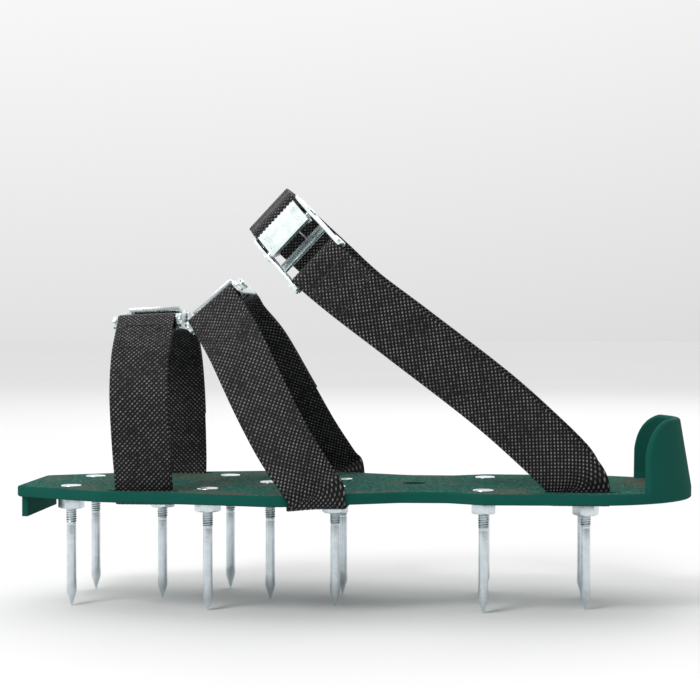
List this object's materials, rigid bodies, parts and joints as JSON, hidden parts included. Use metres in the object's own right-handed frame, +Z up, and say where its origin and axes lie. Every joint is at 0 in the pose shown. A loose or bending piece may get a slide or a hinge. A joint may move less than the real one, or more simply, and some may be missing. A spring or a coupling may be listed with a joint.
{
  "type": "lawn aerator sandal",
  "caption": "Strap-on lawn aerator shoe: a green plastic sole plate with a heel cup, steel spikes held by nuts under it, and black webbing straps with sprung cam buckles.",
  "frame": {"origin": "on the ground below the middle of the sandal's box, level with the spike tips", "axes": "+X from toe to heel, +Z up, +Y across the foot towards the straps' free tails"},
  "size_m": [0.296, 0.1322, 0.1851],
  "materials": {
    "green_plastic": "moulded dark green polypropylene, stippled footbed",
    "zinc_steel": "bright zinc plated",
    "buckle_steel": "nickel-bright stamped sheet steel",
    "webbing": "coarse woven black polypropylene",
    "spring_wire": "drawn spring wire"
  },
  "bodies": {
    "root": {"sole_plate": "green_plastic", "spike_01": "zinc_steel", "spike_02": "zinc_steel", "spike_03": "zinc_steel", "spike_04": "zinc_steel", "spike_05": "zinc_steel", "spike_06": "zinc_steel", "spike_07": "zinc_steel", "spike_08": "zinc_steel", "spike_09": "zinc_steel", "spike_10": "zinc_steel", "spike_11": "zinc_steel", "spike_12": "zinc_steel", "nut_01": "zinc_steel", "nut_02": "zinc_steel", "nut_03": "zinc_steel", "nut_04": "zinc_steel", "nut_05": "zinc_steel", "nut_06": "zinc_steel", "nut_07": "zinc_steel", "nut_08": "zinc_steel", "nut_09": "zinc_steel", "nut_10": "zinc_steel", "nut_11": "zinc_steel", "nut_12": "zinc_steel", "toe_strap": "webbing", "toe_buckle_frame": "buckle_steel", "toe_hinge_pin": "buckle_steel", "toe_cam_spring": "spring_wire", "middle_strap": "webbing", "middle_buckle_frame": "buckle_steel", "middle_hinge_pin": "buckle_steel", "middle_cam_spring": "spring_wire", "heel_strap": "webbing", "heel_buckle_frame": "buckle_steel", "heel_hinge_pin": "buckle_steel", "heel_cam_spring": "spring_wire"},
    "toe_cam": {"toe_cam_lever": "buckle_steel"},
    "middle_cam": {"middle_cam_lever": "buckle_steel"},
    "heel_cam": {"heel_cam_lever": "buckle_steel"}
  },
  "joints": [
    {"name": "toe_cam_hinge", "type": "hinge", "parent": "root", "child": "toe_cam", "pos_m": [-0.09066, 0.00152, 0.12617], "axis": [0.999, 0.0018, 0.0449], "range_deg": [0, 55], "stiffness_Nm_per_rad": 0.05, "springref_deg": -28.65, "deforming": ["toe_cam_spring"]},
    {"name": "middle_cam_hinge", "type": "hinge", "parent": "root", "child": "middle_cam", "pos_m": [-0.06137, -0.00039, 0.13281], "axis": [0.7549, -0.0227, 0.6555], "range_deg": [0, 55], "stiffness_Nm_per_rad": 0.05, "springref_deg": -28.65, "deforming": ["middle_cam_spring"]},
    {"name": "heel_cam_hinge", "type": "hinge", "parent": "root", "child": "heel_cam", "pos_m": [-0.02766, -0.02119, 0.16303], "axis": [0.6907, -0.0601, 0.7207], "range_deg": [0, 55], "stiffness_Nm_per_rad": 0.05, "springref_deg": -28.65, "deforming": ["heel_cam_spring"]}
  ]
}
